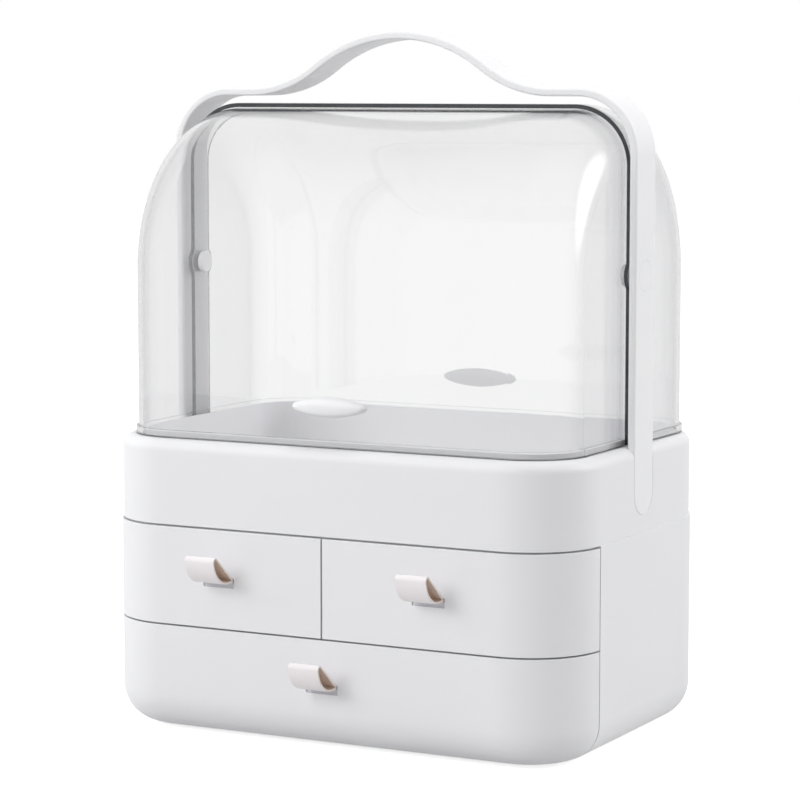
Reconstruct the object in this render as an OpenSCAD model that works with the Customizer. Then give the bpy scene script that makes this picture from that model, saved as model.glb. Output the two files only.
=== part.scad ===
// Dustproof makeup organizer: a white cabinet with two small drawers over one wide drawer,
// an open tray on top, a carrying arch with a raised grip, and two clear covers that turn
// on pivots in the arch's legs. The front cover nests inside the rear one.
// Millimetres. +Z is up, -Y is the front. The origin is the middle of the base.

/* [Cabinet] */
// Width of the cabinet, side to side
body_w = 280; // [270:1:300]
// Depth of the cabinet, front to back
body_d = 192; // [188:1:206]
// Radius of the upright corners, seen from above
corner_r = 40; // [34:1:44]
// Radius along the bottom edge
edge_r = 20; // [14:1:23]
// Wall of the cabinet and of the drawer fronts
wall = 2.6; // [2.2:0.1:3]
// Height of the plinth that the cabinet stands on
plinth_h = 1; // [0.6:0.1:2]
// Height of the wide lower drawer's front
lower_front_h = 57.7; // [54:0.1:66]
// Height of the small upper drawers' fronts
upper_front_h = 52.4; // [48:0.1:60]
// Gap between drawer fronts, and behind their edges
seam = 0.8; // [0.6:0.1:1.2]
// Thickness of the shelf between the drawers and of the divider
board_t = 2; // [1.6:0.1:2.4]

/* [Drawers] */
// Wall of the drawer boxes
box_wall = 2; // [1.6:0.1:2.4]
// Running gap between a drawer box and what it slides in
box_gap = 0.8; // [0.6:0.1:1]
// Free height between a drawer box and the board above it
box_headroom = 3.6; // [3.4:0.1:5]
// How far a drawer pulls out to its stop
drawer_travel = 120; // [90:1:125]
// Distance from the middle to the pulls of the small drawers
pull_x = 62; // [50:1:75]
// Height of the lower pull's slot above the middle of its front
lower_pull_rise = 4.6; // [0:0.2:8]

/* [Strap pulls] */
// Width of the strap
strap_w = 17.5; // [14:0.5:22]
// Thickness of the strap
strap_t = 1; // [0.8:0.1:1.4]
// Length of the folded strap, from the slot to its nose
strap_l = 23; // [19:0.5:26]
// Depth of the fold's bulge, outside
strap_depth = 5.8; // [5:0.1:6.5]
// Radius of the bulge
strap_bulge_r = 25; // [22:1:30]
// Angle at which the fold rises
strap_angle = 40; // [25:1:55]

/* [Top tray] */
// Height of the tray
tray_h = 45.1; // [40:0.1:55]
// Inset of the tray's skin from the cabinet's
tray_inset = 0.8; // [0.4:0.1:1.4]
// Wall of the tray
tray_wall = 2.4; // [2:0.1:3]
// Radius along the tray's top edge
tray_edge_r = 6; // [3:0.5:8]
// Height of the lip that keeps dust out, inside the covers
lip_h = 3; // [1.5:0.1:5]

/* [Covers] */
// Outer radius of the rear cover about the pivots
cover_r = 88.6; // [84:0.2:90]
// Radius of the covers' rounded side edges
cover_edge_r = 32; // [24:0.5:38]
// Wall of the clear covers
cover_wall = 2.2; // [1.6:0.1:2.4]
// Gap between the two nested covers
nest_gap = 0.6; // [0.5:0.05:0.8]
// Lap of each cover past the pivots
cover_lap = 6.5; // [4:0.5:8]
// Height of the straight part below the pivots
cover_drop = 88; // [80:0.5:96]
// Gap between a cover's rim and the tray
rim_gap = 0.6; // [0.5:0.1:0.9]
// Width of the flange along a cover's rim
flange_w = 1.4; // [0.8:0.1:1.5]
// Height of that flange
flange_h = 3.6; // [2:0.1:5]

/* [Carrying arch] */
// Width of the arch's strip, front to back
arch_w = 25; // [22:0.5:30]
// Thickness of the strip
arch_t = 4.2; // [3.8:0.1:5]
// Radius of the strip's long edges
arch_edge_r = 1.2; // [0.6:0.1:1.6]
// How far the strip stands proud of the tray's skin
arch_proud = 0.2; // [0:0.1:0.6]
// Gap between the arch's legs and the rear cover
arch_side_gap = 1.8; // [1.7:0.1:2.4]
// Gap between the top of the rear cover and the arch
arch_top_gap = 3.9; // [3:0.1:6]
// Outer radius of the arch's shoulders
shoulder_r = 34; // [26:0.5:36]
// Rise of the grip above the shoulders
grip_rise = 30; // [24:0.5:32]
// Outer radius of the grip's crown
crown_r = 85; // [70:1:95]
// Height of the legs' round ends above the tray's bottom
leg_end_h = 8.8; // [6:0.1:14]

/* [Pivots] */
// Radius of the pivot pins
pin_r = 3; // [2.5:0.1:3.5]
// Radius of the pins' button heads
pin_head_r = 6; // [5:0.1:7]
// Height of the button heads
pin_head_h = 2.4; // [1.8:0.1:3]
// Radius of the covers' round ears
ear_r = 9.3; // [8.6:0.1:10.5]
// Radius of the discs that close the pivots outside
disc_r = 8.2; // [7:0.1:9.5]

/* [Tabs and screws] */
// Length of the oval finger tabs
tab_l = 43; // [34:1:52]
// Height of the tabs
tab_h = 10.4; // [8:0.2:12]
// Reach of the tabs from the cover
tab_reach = 7; // [5:0.5:9]
// Height of the tabs above the tray's rim
tab_rise = 21.4; // [16:0.2:30]
// Radius of the screws' shanks
screw_r = 1.5; // [1.2:0.1:1.8]
// Radius of the screws' heads
screw_head_r = 3; // [2.6:0.1:3.2]

/* [Hidden] */
$fn = 72;

// Colours
white = "#ECECEE";
arch_white = "#F1F1F2";
strap_white = "#E9E3E3";
clear = [0.85, 0.9, 0.92, 0.35];
steel = "#9A9DA1";

// General clearances
run_gap = 0.3;          // between sliding pieces
pin_gap = 0.05;         // between a pin and its hole, on the radius
fit_gap = 0.1;          // between pieces that are fixed together
skin = 0.01;            // reach of a cut past the face that it opens
far = 400;              // size of the blocks that cut a piece in two

// Levels
z_lower_top = plinth_h + lower_front_h;
z_upper = z_lower_top + seam;
z_upper_top = z_upper + upper_front_h;
tray_seam = 1;
z_tray = z_upper_top + tray_seam;
z_rim = z_tray + tray_h;
z_pivot = z_rim + rim_gap + cover_drop;
z_shoulder = z_pivot + cover_r + arch_top_gap + arch_t;
z_grip = z_shoulder + grip_rise;

// Cabinet
front_y = -body_d / 2;
side_x = body_w / 2;
y_seam = front_y + corner_r;
roof_t = wall;
z_roof = z_tray - roof_t;
z_shelf = z_upper;
box_inset = wall + box_gap;
plinth_inset = 8;       // from the seam and from the flat of the floor
plinth_r = 14;

// Boxes of the drawers
z_lower_box = plinth_h + box_inset;
z_lower_box_top = z_shelf - board_t - box_headroom;
z_upper_box = z_shelf + box_gap;
z_upper_box_top = z_roof - box_headroom;
box_rear = body_d / 2 - box_inset;
rail_w = 3;
rail_h = box_gap - run_gap;
stop_w = 30;
stop_overlap = 1;
stop_lip_h = (box_headroom + stop_overlap) / 2;
stop_lip_y = box_rear - box_wall - drawer_travel - run_gap;

// Pulls
slot_w = strap_w + 1;
slot_h = 2 * strap_t + 0.4;
pocket_drop = 2.6;
pocket_deep = 1.2;
z_upper_pull = (z_upper + z_upper_top) / 2 - 0.2;
z_lower_pull = plinth_h + lower_front_h / 2 + lower_pull_rise;
pull_wall_y = front_y + box_inset + box_wall;
tail_drop = 11;
bulge_u = 0.6 * strap_l;
bulge_v = strap_bulge_r - strap_depth;
nose_a = strap_l - bulge_u;
nose_b = strap_bulge_r + bulge_v - nose_a;
nose_r = sqrt(nose_b * nose_b - nose_a * nose_a + strap_bulge_r * strap_bulge_r
    - bulge_v * bulge_v) - nose_b;
nose_u = strap_l - nose_r;
clip_side = 3;
clip_w = slot_w + 2 * clip_side;
clip_h = 8;
clip_t = 2;

// Tray
tray_w = body_w - 2 * tray_inset;
tray_d = body_d - 2 * tray_inset;
tray_r = corner_r - tray_inset;

// Arch, and what hangs in it
arch_x = tray_w / 2 + arch_proud;
arch_in = arch_x - arch_t;
rear_x = arch_in - arch_side_gap;
front_x = rear_x - cover_wall - nest_gap;
rear_r = cover_r;
front_r = rear_r - cover_wall - nest_gap;
rear_edge_r = cover_edge_r;
front_edge_r = rear_edge_r - cover_wall - nest_gap;
grip_angle = atan2(3, 4);     // where the bends meet, the grip slopes 3 in 4
grip_half = 3 * grip_rise;    // from the middle to the shoulder, at that slope
valley_r = 5 * grip_rise - crown_r;
z_leg_end = z_tray + leg_end_h;

// Tray's tub, clear of the front cover
lip_gap = 0.8;
tub_w = 2 * (front_x - cover_wall - lip_gap);
tub_d = 2 * (front_r - cover_wall - lip_gap);
tub_r = front_edge_r - cover_wall - lip_gap;
tub_wall = 2;
seat_side = 4;          // backing of an arch seat, past the leg on each side

// Screws
screw_head_h = 1.8;
arch_screw_step = 11;
arch_screw_bite = 3;
z_arch_screw = z_leg_end + arch_w / 2 - 1;
tray_screw_x = (tub_w / 2 + tray_w / 2 - tray_wall) / 2;
tray_screw_y = 48;
tray_screw_bite = 9;
boss_cap = 3;
boss_r = (tray_w / 2 - tray_wall - tub_w / 2) / 2 + 0.6;
clip_screw_bite = wall + box_wall - 1;

// Pivots
washer_t = arch_side_gap - run_gap;
disc_t = 1.2;
peg_r = 1.5;            // of the tabs' pegs
pin_start = front_x - cover_wall - run_gap;
pin_end = arch_x - disc_t;

// ---------------------------------------------------------------- shapes that repeat

// Rectangle with round corners, about the origin
module rounded_rect(w, d, r) {
    square([w - 2 * r, d], center = true);
    square([w, d - 2 * r], center = true);
    for (x = [-1, 1], y = [-1, 1])
        translate([x * (w / 2 - r), y * (d / 2 - r)])
            circle(r);
}

// Upright section of a block whose two bottom corners are round
module tub_section(w, h, e) {
    translate([-w / 2, e])
        square([w, h - e]);
    translate([-w / 2 + e, 0])
        square([w - 2 * e, h]);
    for (x = [-1, 1])
        translate([x * (w / 2 - e), e])
            circle(e);
}

// Block with round upright corners and a round bottom edge, standing on z = 0
module rounded_block(w, d, h, r, e) {
    rotate([90, 0, 90])
        linear_extrude(w - 2 * r, center = true)
            tub_section(d, h, e);
    rotate([90, 0, 0])
        linear_extrude(d - 2 * r, center = true)
            tub_section(w, h, e);
    for (quarter = [0 : 3])
        translate([
            (quarter == 0 || quarter == 3 ? 1 : -1) * (w / 2 - r),
            (quarter < 2 ? 1 : -1) * (d / 2 - r), 0])
            rotate(90 * quarter)
                rotate_extrude(angle = 90)
                    intersection() {
                        tub_section(2 * r, h, e);
                        square([r, h]);
                    }
}

// The cabinet's outer form, or the same form a little smaller all round
module cabinet_form(inset, top) {
    translate([0, 0, plinth_h + inset])
        rounded_block(body_w - 2 * inset, body_d - 2 * inset, top - plinth_h - inset,
            corner_r - inset, edge_r - inset);
}

module cabinet_outline(inset) {
    rounded_rect(body_w - 2 * inset, body_d - 2 * inset, corner_r - inset);
}

// Keeps what lies in front of y, or behind it
module in_front_of(y) {
    intersection() {
        children();
        translate([-far / 2, y - far, -far / 2])
            cube([far, far, 2 * far]);
    }
}

module behind(y) {
    intersection() {
        children();
        translate([-far / 2, y, -far / 2])
            cube([far, far, 2 * far]);
    }
}

// Pan-head screw along +Z, its head's underside at z = 0
module screw(bite) {
    cylinder(h = bite, r = screw_r);
    translate([0, 0, -screw_head_h])
        cylinder(h = screw_head_h, r = screw_head_r);
}

// ---------------------------------------------------------------- cabinet

// Two rails under a drawer box, either side of x, on a board whose top is at z
module rails(x, spread, z, y0, y1) {
    for (side = [-1, 1])
        translate([x + side * spread - rail_w / 2, y0, z - skin])
            cube([rail_w, y1 - y0, rail_h + skin]);
}

// Lip under a board, which the stop on a drawer's rear wall meets
module stop_lip(x, z) {
    translate([x - stop_w / 2, stop_lip_y - box_wall, z - stop_lip_h])
        cube([stop_w, box_wall, stop_lip_h + skin]);
}

module drawer_housing() {
    ledge = 2;
    color(white)
    difference() {
        union() {
            behind(y_seam)
                difference() {
                    cabinet_form(0, z_tray);
                    cabinet_form(wall, z_roof);
                }
            // roof, which reaches over the drawers inside their fronts
            translate([0, 0, z_roof])
                linear_extrude(roof_t)
                    cabinet_outline(box_inset);
            // plinth
            translate([0, (y_seam + plinth_inset + body_d / 2 - edge_r - plinth_inset) / 2, 0])
                linear_extrude(plinth_h + skin)
                    rounded_rect(body_w - 2 * edge_r - 4 * plinth_inset,
                        body_d / 2 - edge_r - y_seam - 2 * plinth_inset, plinth_r);
            rails(0, body_w / 4, plinth_h + wall, y_seam, body_d / 2 - edge_r);
            for (x = [-1, 1])
                stop_lip(x * pull_x, z_roof);
            // ledges that carry the shelf
            for (side = [0, 1])
                mirror([side, 0, 0])
                    translate([side_x - wall - ledge, y_seam, z_shelf - board_t - ledge])
                        cube([ledge + skin, body_d / 2 - corner_r - y_seam, ledge]);
        }
        for (x = [-1, 1], y = [-1, 1])
            translate([x * tray_screw_x, y * tray_screw_y, z_roof - skin])
                cylinder(h = roof_t + 2 * skin, r = screw_r + fit_gap);
    }
}

module middle_shelf() {
    color(white) {
        translate([0, 0, z_shelf - board_t])
            linear_extrude(board_t) {
                intersection() {
                    cabinet_outline(wall + fit_gap);
                    translate([-far / 2, y_seam])
                        square(far);
                }
                cabinet_outline(box_inset);
            }
        for (x = [-1, 1])
            rails(x * pull_x, pull_x / 2, z_shelf, front_y + corner_r, body_d / 2 - corner_r);
        stop_lip(0, z_shelf - board_t);
    }
}

module centre_divider() {
    color(white)
        translate([-board_t / 2, front_y + box_inset, z_shelf])
            cube([board_t, body_d - box_inset - wall - fit_gap, z_roof - z_shelf]);
}

// ---------------------------------------------------------------- tray

// Seat of an arch leg in the tray's side, with a round lower end
module leg_form(gap, reach) {
    r = arch_w / 2 + gap;
    translate([arch_in - gap, 0, z_leg_end + arch_w / 2])
        rotate([90, 0, 90])
            linear_extrude(reach) {
                circle(r);
                translate([-r, 0])
                    square([2 * r, far]);
            }
}

module top_tray() {
    z_land = z_rim - tray_wall;
    color(white)
    difference() {
        union() {
            difference() {
                // outer skin, its round edge up
                translate([0, 0, z_rim])
                    mirror([0, 0, 1])
                        rounded_block(tray_w, tray_d, tray_h, tray_r, tray_edge_r);
                // the hollow between skin and tub, open below
                translate([0, 0, z_tray - skin])
                    linear_extrude(z_land - z_tray + skin)
                        rounded_rect(tray_w - 2 * tray_wall, tray_d - 2 * tray_wall,
                            tray_r - tray_wall);
            }
            // tub and its lip
            translate([0, 0, z_tray])
                linear_extrude(tray_h + lip_h)
                    rounded_rect(tub_w, tub_d, tub_r);
            // backing of the arch's seats
            for (side = [0, 1])
                mirror([side, 0, 0])
                    translate([tub_w / 2 - 1, -arch_w / 2 - seat_side, z_tray])
                        cube([tray_w / 2 - tub_w / 2, arch_w + 2 * seat_side,
                            z_land - z_tray + skin]);
            // screw bosses
            for (x = [-1, 1], y = [-1, 1])
                translate([x * tray_screw_x, y * tray_screw_y, z_tray])
                    cylinder(h = tray_screw_bite + boss_cap, r = boss_r);
        }
        translate([0, 0, z_tray + tray_wall])
            linear_extrude(far)
                rounded_rect(tub_w - 2 * tub_wall, tub_d - 2 * tub_wall, tub_r - tub_wall);
        for (side = [0, 1])
            mirror([side, 0, 0]) {
                leg_form(fit_gap, far);
                for (y = [-1, 1])
                    translate([0, y * arch_screw_step / 2, z_arch_screw])
                        rotate([0, 90, 0])
                            cylinder(h = far, r = screw_r + fit_gap);
            }
        for (x = [-1, 1], y = [-1, 1])
            translate([x * tray_screw_x, y * tray_screw_y, z_tray - skin])
                cylinder(h = tray_screw_bite - roof_t, r = screw_r);
    }
}

module tray_screws() {
    color(steel)
        for (x = [-1, 1], y = [-1, 1])
            translate([x * tray_screw_x, y * tray_screw_y, z_roof])
                screw(tray_screw_bite - 1);
}

// ---------------------------------------------------------------- arch

// The strip's section, its faces at x = 0 and x = arch_t
module strip_section() {
    translate([arch_t / 2, 0])
        rounded_rect(arch_t, arch_w, arch_edge_r, $fn = 24);
}

// The strip is a path of straights and bends that sets out along +X with its outer face at
// z = 0. Each stretch starts at its own origin, and the next is placed at its end. A key at
// the start, inside the strip, makes it one piece with the stretch before.
module key() {
    translate([-arch_t / 4, -arch_w / 4, -arch_t * 3 / 4])
        cube([arch_t / 2, arch_w / 2, arch_t / 2]);
}

module straight(length) {
    key();
    rotate([0, 90, 0])
        linear_extrude(length)
            strip_section();
}

// Carries its children to the end of a bend about a centre at height z
module past_bend(z, angle) {
    translate([0, 0, z])
        rotate([0, angle, 0])
            translate([0, 0, -z])
                children();
}

// Bend about a centre above the strip, where z is positive, or below it. It is a half ring
// cut by the planes of its two ends, so that its neighbours meet it exactly.
module bend(z, angle) {
    key();
    intersection() {
        translate([0, 0, z])
            rotate([90, 0, 0])
                rotate_extrude(start = z > 0 ? 180 : 0, angle = 180)
                    translate([z > 0 ? z : -z - arch_t, 0])
                        strip_section();
        translate([0, -far / 2, -far / 2])
            cube(far);
        past_bend(z, angle)
            translate([-far, -far / 2, -far / 2])
                cube(far);
    }
}

// Half a disc with the strip's rounded edge
module round_end() {
    key();
    rotate_extrude(start = -90, angle = 180)
        intersection() {
            translate([0, -arch_t / 2])
                rounded_rect(arch_w, arch_t, arch_edge_r, $fn = 24);
            translate([0, -arch_t])
                square(arch_w);
        }
}

module half_arch() {
    shoulder_l = arch_x - shoulder_r - grip_half;
    leg_l = z_shoulder - shoulder_r - z_leg_end - arch_w / 2;
    translate([0, 0, z_grip]) {
        bend(-crown_r, grip_angle);
        past_bend(-crown_r, grip_angle) {
            bend(valley_r, -grip_angle);
            past_bend(valley_r, -grip_angle) {
                straight(shoulder_l);
                translate([shoulder_l, 0, 0]) {
                    bend(-shoulder_r, 90);
                    past_bend(-shoulder_r, 90) {
                        straight(leg_l);
                        translate([leg_l, 0, 0])
                            round_end();
                    }
                }
            }
        }
    }
}

module handle_arch() {
    color(arch_white)
    difference() {
        union() {
            half_arch();
            mirror([1, 0, 0])
                half_arch();
        }
        for (side = [0, 1])
            mirror([side, 0, 0]) {
                translate([0, 0, z_pivot])
                    rotate([0, 90, 0]) {
                        cylinder(h = far, r = pin_r + pin_gap);
                        translate([0, 0, arch_x - disc_t])
                            cylinder(h = far, r = disc_r + fit_gap);
                    }
                for (y = [-1, 1])
                    translate([arch_in - 1, y * arch_screw_step / 2, z_arch_screw])
                        rotate([0, 90, 0])
                            cylinder(h = 1 + arch_screw_bite, r = screw_r);
            }
    }
}

module arch_screws() {
    reach = arch_in + arch_screw_bite - 0.5 - (tub_w / 2 - tub_wall);
    color(steel)
        for (side = [0, 1])
            mirror([side, 0, 0])
                for (y = [-1, 1])
                    translate([tub_w / 2 - tub_wall, y * arch_screw_step / 2, z_arch_screw])
                        rotate([0, 90, 0])
                            screw(reach);
}

// ---------------------------------------------------------------- pivots

module pivot_pin() {
    rounding = 1;
    color(arch_white)
    translate([pin_start, 0, z_pivot])
        rotate([0, 90, 0]) {
            cylinder(h = pin_end - pin_start, r = pin_r);
            // button head with a round rim
            mirror([0, 0, 1])
                rotate_extrude() {
                    square([pin_head_r, pin_head_h - rounding]);
                    square([pin_head_r - rounding, pin_head_h]);
                    translate([pin_head_r - rounding, pin_head_h - rounding])
                        circle(rounding);
                }
        }
}

module pivot_pin_left() {
    mirror([1, 0, 0])
        pivot_pin();
}

module pivot_pin_right() {
    pivot_pin();
}

module pivot_washers() {
    color(arch_white)
        for (side = [0, 1])
            mirror([side, 0, 0])
                translate([arch_in - washer_t, 0, z_pivot])
                    rotate([0, 90, 0])
                        difference() {
                            cylinder(h = washer_t, r = pin_head_r);
                            translate([0, 0, -skin])
                                cylinder(h = far, r = pin_r + pin_gap);
                        }
}

module pivot_discs() {
    color(arch_white)
        for (side = [0, 1])
            mirror([side, 0, 0])
                translate([arch_x - disc_t, 0, z_pivot])
                    rotate([0, 90, 0])
                        cylinder(h = disc_t, r = disc_r);
}

// ---------------------------------------------------------------- covers

// Drum over a straight skirt: the form that both covers are cut from. Its sides are flat,
// and its long edges have the radius e all the way round.
module hood(x, r, e, skirt) {
    rotate([0, 90, 0])
        rotate_extrude(start = 90, angle = 180)
            intersection() {
                rounded_rect(2 * r, 2 * x, e);
                translate([0, -x])
                    square([r, 2 * x]);
            }
    translate([0, 0, -skirt])
        linear_extrude(skirt)
            rounded_rect(2 * x, 2 * r, e);
}

// Shell of a hood with a flange along its rim, about the pivot
module hood_shell(x, r, e) {
    difference() {
        union() {
            hood(x, r, e, cover_drop);
            translate([0, 0, -cover_drop])
                linear_extrude(flange_h)
                    rounded_rect(2 * (x + flange_w), 2 * (r + flange_w), e + flange_w);
        }
        hood(x - cover_wall, r - cover_wall, e - cover_wall, cover_drop + skin);
    }
}

// The two round ears at the pivots
module ears(x) {
    for (side = [0, 1])
        mirror([side, 0, 0])
            translate([x - cover_wall, 0, 0])
                rotate([0, 90, 0])
                    cylinder(h = cover_wall, r = ear_r);
}

module pivot_holes() {
    rotate([0, 90, 0])
        cylinder(h = far, r = pin_r + pin_gap, center = true);
}

// Two pegs behind a tab, or the holes that they sit in
module tab_pegs(y, length, gap) {
    for (x = [-1, 1])
        translate([x * tab_l / 4, y, z_rim + tab_rise])
            rotate([90, 0, 0])
                cylinder(h = length, r = peg_r + gap);
}

module front_cover() {
    color(clear)
    difference() {
        translate([0, 0, z_pivot]) {
            difference() {
                union() {
                    in_front_of(cover_lap)
                        hood_shell(front_x, front_r, front_edge_r);
                    ears(front_x);
                }
                pivot_holes();
                // the flange ends where the rear cover begins
                translate([0, -cover_lap - seam, -cover_drop - skin])
                    linear_extrude(flange_h + 2 * skin)
                        difference() {
                            translate([-far / 2, 0])
                                square(far);
                            square([2 * front_x, far], center = true);
                        }
            }
        }
        tab_pegs(-front_r + cover_wall + skin, cover_wall + 2 * skin, fit_gap);
    }
}

module rear_cover() {
    color(clear)
    difference() {
        translate([0, 0, z_pivot])
            difference() {
                union() {
                    behind(-cover_lap)
                        hood_shell(rear_x, rear_r, rear_edge_r);
                    ears(rear_x);
                }
                pivot_holes();
            }
        rotate(180)
            tab_pegs(-rear_r + cover_wall + skin, cover_wall + 2 * skin, fit_gap);
    }
}

// Oval of two long arcs and two short ones across its ends
module oval(length, height, end_h) {
    fall = (height - end_h) / 2;
    side_r = (length * length / 4 + fall * fall) / (2 * fall);
    intersection() {
        translate([0, height / 2 - side_r])
            circle(side_r, $fn = 360);
        translate([0, side_r - height / 2])
            circle(side_r, $fn = 360);
        circle(length / 2);
    }
}

// Side view of a tab: its outer edges are rounded
module tab_section() {
    round_r = tab_h / 4;
    translate([tab_reach - round_r, 0])
        square([2 * round_r, tab_h - 2 * round_r], center = true);
    translate([0, -tab_h / 2])
        square([tab_reach - round_r, tab_h]);
    for (y = [-1, 1])
        translate([tab_reach - round_r, y * (tab_h / 2 - round_r)])
            circle(round_r);
}

// Oval tab on the cover's face at y = -r, rounded above and below
module finger_tab(r) {
    translate([0, -r, z_rim + tab_rise])
        intersection() {
            rotate([90, 0, 0])
                linear_extrude(tab_reach)
                    oval(tab_l, tab_h, tab_h * 0.3);
            rotate([90, 0, -90])
                linear_extrude(tab_l + 2, center = true)
                    tab_section();
        }
    tab_pegs(-r + cover_wall, cover_wall + skin, 0);
}

module front_tab() {
    color(arch_white)
        finger_tab(front_r);
}

module rear_tab() {
    color(arch_white)
        rotate(180)
            finger_tab(rear_r);
}

// ---------------------------------------------------------------- drawers

// Slot through a drawer's front and box for the strap, the pocket round its mouth, and the
// hole of its clip's screw
module pull_openings(x, z) {
    translate([x - slot_w / 2, front_y - 1, z - slot_h / 2])
        cube([slot_w, pull_wall_y - front_y + 2, slot_h]);
    translate([x - slot_w / 2, front_y - 1, z - slot_h / 2 - pocket_drop])
        cube([slot_w, 1 + pocket_deep, slot_h + pocket_drop]);
    translate([x, pull_wall_y + 1, z - tail_drop + clip_h / 2])
        rotate([90, 0, 0])
            cylinder(h = 1 + clip_screw_bite, r = screw_r);
}

// Stop on a drawer's rear wall
module stop(x, z) {
    translate([x - stop_w / 2, box_rear - box_wall, z - 1])
        cube([stop_w, box_wall, 1 + stop_lip_h]);
}

// Outline of a drawer box: it fills the inside of the front, and clears the cabinet behind
module box_outline() {
    intersection() {
        cabinet_outline(wall + fit_gap);
        translate([-far / 2, y_seam - 2 * seam - far])
            square(far);
    }
    cabinet_outline(box_inset);
}

module left_half(x) {
    intersection() {
        children();
        translate([-far + x, -far / 2])
            square(far);
    }
}

module small_drawer_box() {
    gap = board_t / 2 + box_gap;
    color(white)
    difference() {
        union() {
            translate([0, 0, z_upper_box])
                linear_extrude(z_upper_box_top - z_upper_box)
                    left_half(-gap)
                        box_outline();
            stop(-pull_x, z_upper_box_top);
        }
        translate([0, 0, z_upper_box + box_wall])
            linear_extrude(z_upper_box_top - z_upper_box)
                left_half(-gap - box_wall)
                    cabinet_outline(box_inset + box_wall);
        pull_openings(-pull_x, z_upper_pull);
    }
}

module small_drawer_front() {
    color(white)
    difference() {
        translate([0, 0, z_upper])
            linear_extrude(upper_front_h)
                intersection() {
                    difference() {
                        cabinet_outline(0);
                        cabinet_outline(wall);
                    }
                    translate([-far - seam / 2, y_seam - seam - far])
                        square(far);
                }
        pull_openings(-pull_x, z_upper_pull);
    }
}

module lower_drawer_box() {
    color(white)
    difference() {
        union() {
            in_front_of(y_seam - 2 * seam)
                cabinet_form(wall + fit_gap, z_lower_box_top);
            cabinet_form(box_inset, z_lower_box_top);
            stop(0, z_lower_box_top);
        }
        cabinet_form(box_inset + box_wall, z_lower_box_top + skin);
        pull_openings(0, z_lower_pull);
    }
}

module lower_drawer_front() {
    color(white)
    difference() {
        in_front_of(y_seam - seam)
            cabinet_form(0, z_lower_top);
        cabinet_form(wall, z_lower_top + skin);
        pull_openings(0, z_lower_pull);
    }
}

// Side view of the folded strap, its mouth at the origin: flat above, bulging below, and
// round at the nose, which touches both sides. The inner outline is the same, further in.
module fold_shape(inset) {
    bulge = strap_bulge_r - inset;
    toward_nose = [nose_u - bulge_u, -nose_r - bulge_v] / (strap_bulge_r - nose_r);
    touch = [bulge_u, bulge_v] + bulge * toward_nose;
    intersection() {
        translate([bulge_u, bulge_v])
            circle(bulge, $fn = 200);
        polygon([
            [0, -inset],
            [nose_u, -inset],
            touch,
            [touch[0], -strap_l],
            [0, -strap_l]]);
    }
    translate([nose_u, -nose_r])
        circle(nose_r - inset);
}

// Strap folded double: both ends go in through the slot, one on the other, and turn down
// behind the wall
module strap(x, z) {
    stack = 2 * strap_t;
    inner_y = pull_wall_y - front_y;
    color(strap_white)
    translate([x - strap_w / 2, front_y, z])
        rotate([90, 0, 90])
            linear_extrude(strap_w) {
                translate([0, strap_t])
                    mirror([1, 0])
                        rotate(strap_angle)
                            difference() {
                                fold_shape(0);
                                fold_shape(strap_t);
                            }
                translate([-strap_t, -strap_t])
                    square([strap_t + inner_y + stack, stack]);
                translate([inner_y, -tail_drop])
                    square([stack, tail_drop + strap_t]);
            }
}

// Plate that presses the strap's ends to the wall, in two feet that straddle them
module pull_clip(x, z) {
    stack = 2 * strap_t;
    foot = (clip_w - strap_w) / 2 - fit_gap;
    color(white)
    translate([x, pull_wall_y, z - tail_drop])
        difference() {
            union() {
                translate([-clip_w / 2, stack, 0])
                    cube([clip_w, clip_t, clip_h]);
                for (side = [0, 1])
                    mirror([side, 0, 0])
                        translate([clip_w / 2 - foot, 0, 0])
                            cube([foot, stack + skin, clip_h]);
            }
            translate([0, far / 2, clip_h / 2])
                rotate([90, 0, 0])
                    cylinder(h = far, r = screw_r + fit_gap);
        }
}

module clip_screw(x, z) {
    stack = 2 * strap_t;
    color(steel)
        translate([x, pull_wall_y + stack + clip_t, z - tail_drop + clip_h / 2])
            rotate([90, 0, 0])
                screw(stack + clip_t + clip_screw_bite - 0.5);
}

// The strap's ends are pierced for the clip's screw
module pierced_strap(x, z) {
    difference() {
        strap(x, z);
        translate([x, pull_wall_y + far / 2, z - tail_drop + clip_h / 2])
            rotate([90, 0, 0])
                cylinder(h = far / 2 + 0.5, r = screw_r + fit_gap);
    }
}

module left_drawer_box() { small_drawer_box(); }
module left_drawer_front() { small_drawer_front(); }
module left_pull() { pierced_strap(-pull_x, z_upper_pull); }
module left_pull_clip() { pull_clip(-pull_x, z_upper_pull); }
module left_clip_screw() { clip_screw(-pull_x, z_upper_pull); }

module right_drawer_box() { mirror([1, 0, 0]) small_drawer_box(); }
module right_drawer_front() { mirror([1, 0, 0]) small_drawer_front(); }
module right_pull() { pierced_strap(pull_x, z_upper_pull); }
module right_pull_clip() { pull_clip(pull_x, z_upper_pull); }
module right_clip_screw() { clip_screw(pull_x, z_upper_pull); }

module lower_pull() { pierced_strap(0, z_lower_pull); }
module lower_pull_clip() { pull_clip(0, z_lower_pull); }
module lower_clip_screw() { clip_screw(0, z_lower_pull); }

drawer_housing();
middle_shelf();
centre_divider();
top_tray();
tray_screws();
handle_arch();
arch_screws();
pivot_pin_left();
pivot_pin_right();
pivot_washers();
pivot_discs();
rear_cover();
rear_tab();
front_cover();
front_tab();
left_drawer_box();
left_drawer_front();
left_pull();
left_pull_clip();
left_clip_screw();
right_drawer_box();
right_drawer_front();
right_pull();
right_pull_clip();
right_clip_screw();
lower_drawer_box();
lower_drawer_front();
lower_pull();
lower_pull_clip();
lower_clip_screw();
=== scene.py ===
# %% [markdown]
# # A makeup organizer with clear covers
# The object is a white cabinet: two small drawers over a wide one, a tray on top under two
# clear covers that swing up, and a carrying arch with a raised grip. The CAD model says where
# each piece is and how it moves. This lesson gives the pieces that show their finer shape and
# every surface its finish, in metres and in the CAD model's own frame.

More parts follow.
